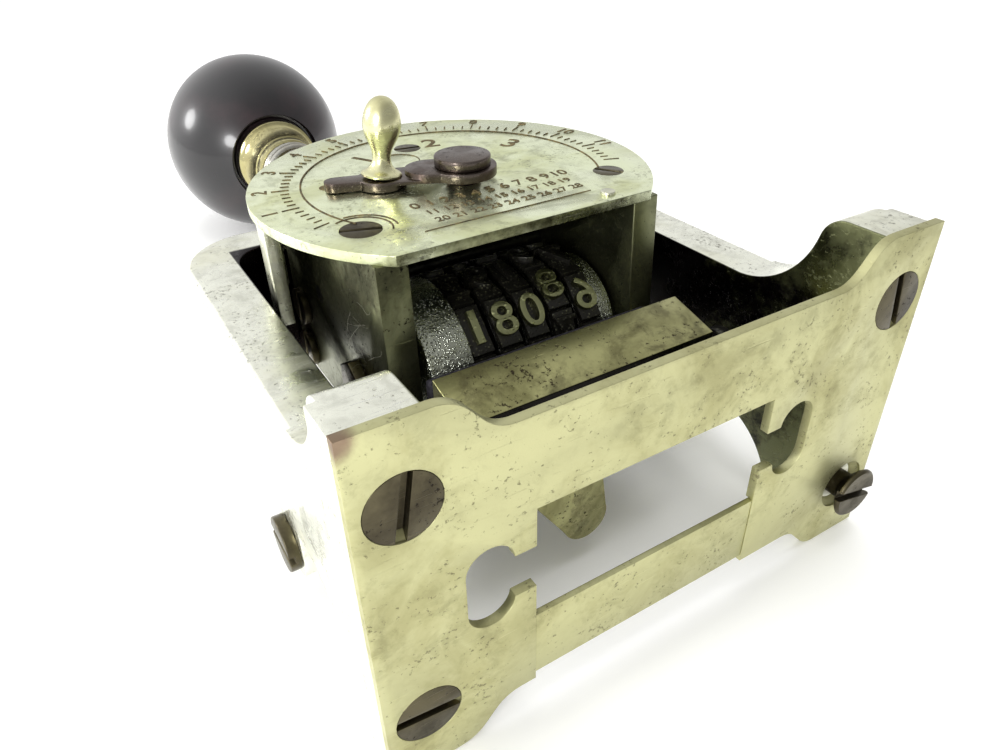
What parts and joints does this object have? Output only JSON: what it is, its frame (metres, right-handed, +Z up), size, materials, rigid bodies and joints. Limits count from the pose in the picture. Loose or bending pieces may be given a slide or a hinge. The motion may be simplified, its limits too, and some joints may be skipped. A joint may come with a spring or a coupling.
{
  "type": "hand numbering machine",
  "caption": "Press-down hand numbering machine: ball handle and plunger in a yoke, number wheels, dial with pointer, swinging ink pad, and a slotted base plate.",
  "frame": {"origin": "on the surface the base stands on, below the middle of the whole machine's box", "axes": "+X right, +Y to the back away from the dial plate, +Z up to the ball handle"},
  "size_m": [0.0772, 0.0588, 0.1882],
  "materials": {
    "nickel": "worn nickel plating, satin",
    "nickel_base": "worn nickel plating, warm and speckled",
    "nickel_dial": "engraved nickel plate",
    "nickel_grimy": "yellowed nickel with grime",
    "oily_nickel": "oily nickel with dust",
    "oily_black": "black oily steel",
    "grainy_black": "coarse black casting",
    "wheel_black": "blackened number wheel",
    "dark_steel": "blued steel screws",
    "brown_steel": "browned steel lever",
    "bright_steel": "polished nickel",
    "spring_steel": "spring steel",
    "brass": "satin brass",
    "black_ball": "glossy black lacquer",
    "leather": "leather buffer washer",
    "felt": "inked felt"
  },
  "bodies": {
    "frame": {"frame_yoke": "nickel", "base_plate": "nickel_base", "guide_strip": "nickel_base", "guide_rivets": "nickel_base", "base_screws": "dark_steel", "base_screw_rear_right": "dark_steel", "plunger_bush": "nickel", "inker_pivot_screws": "dark_steel"},
    "carriage": {"plunger_rod": "bright_steel", "stop_washer": "leather", "ball_handle": "black_ball", "handle_ferrule": "bright_steel", "return_spring": "spring_steel", "crosshead": "oily_black", "side_plate_left": "oily_nickel", "side_plate_right": "oily_nickel", "dial_plate": "nickel_dial", "dial_screws": "dark_steel", "dial_pin": "nickel", "dial_housing": "nickel", "crosshead_screws": "dark_steel", "wheel_shaft": "dark_steel", "shaft_nuts": "dark_steel", "collar_left": "grainy_black", "collar_right": "grainy_black", "detent_bar": "oily_black", "detent_springs": "spring_steel"},
    "feed_rocker": {"feed_rocker": "oily_black", "feed_pawl": "oily_black"},
    "selector_pointer": {"pointer_lever": "brown_steel", "pointer_knob": "brass", "pointer_shaft": "brown_steel", "selector_cam": "oily_black"},
    "inker": {"ink_tray": "nickel_grimy", "ink_pad": "felt", "inker_arm_left": "oily_black", "inker_arm_right": "oily_black"},
    "wheel_1": {"number_wheel_1": "wheel_black"},
    "wheel_2": {"number_wheel_2": "wheel_black"},
    "wheel_3": {"number_wheel_3": "wheel_black"},
    "wheel_4": {"number_wheel_4": "wheel_black"},
    "wheel_5": {"number_wheel_5": "wheel_black"}
  },
  "joints": [
    {"name": "plunger_press", "type": "slide", "parent": "frame", "child": "carriage", "axis": [0, 0, -1], "range_m": [0, 0.0285], "stiffness_N_per_m": 260, "springref_m": -0.04, "deforming": ["return_spring"]},
    {"name": "inker_swing", "type": "hinge", "parent": "frame", "child": "inker", "pos_m": [0, 0.0215, 0.0335], "axis": [1, 0, 0], "range_deg": [0, 108]},
    {"name": "feed_swing", "type": "hinge", "parent": "carriage", "child": "feed_rocker", "pos_m": [0, 0.00575, 0.041], "axis": [-1, 0, 0], "range_deg": [0, 36.5]},
    {"name": "pointer_turn", "type": "hinge", "parent": "carriage", "child": "selector_pointer", "pos_m": [0, -0.0173, 0.048], "axis": [0, 1, 0], "range_deg": [0, 130]},
    {"name": "wheel_1_turn", "type": "hinge", "parent": "carriage", "child": "wheel_1", "pos_m": [0, 0.00575, 0.041], "axis": [1, 0, 0], "continuous": true},
    {"name": "wheel_2_turn", "type": "hinge", "parent": "carriage", "child": "wheel_2", "pos_m": [0, 0.00575, 0.041], "axis": [1, 0, 0], "continuous": true},
    {"name": "wheel_3_turn", "type": "hinge", "parent": "carriage", "child": "wheel_3", "pos_m": [0, 0.00575, 0.041], "axis": [1, 0, 0], "continuous": true},
    {"name": "wheel_4_turn", "type": "hinge", "parent": "carriage", "child": "wheel_4", "pos_m": [0, 0.00575, 0.041], "axis": [1, 0, 0], "continuous": true},
    {"name": "wheel_5_turn", "type": "hinge", "parent": "carriage", "child": "wheel_5", "pos_m": [0, 0.00575, 0.041], "axis": [1, 0, 0], "continuous": true}
  ],
  "couplings": [
    {"joint": "inker_swing", "follows": "plunger_press", "rad_per_m": 66},
    {"joint": "feed_swing", "follows": "plunger_press", "rad_per_m": 22}
  ]
}
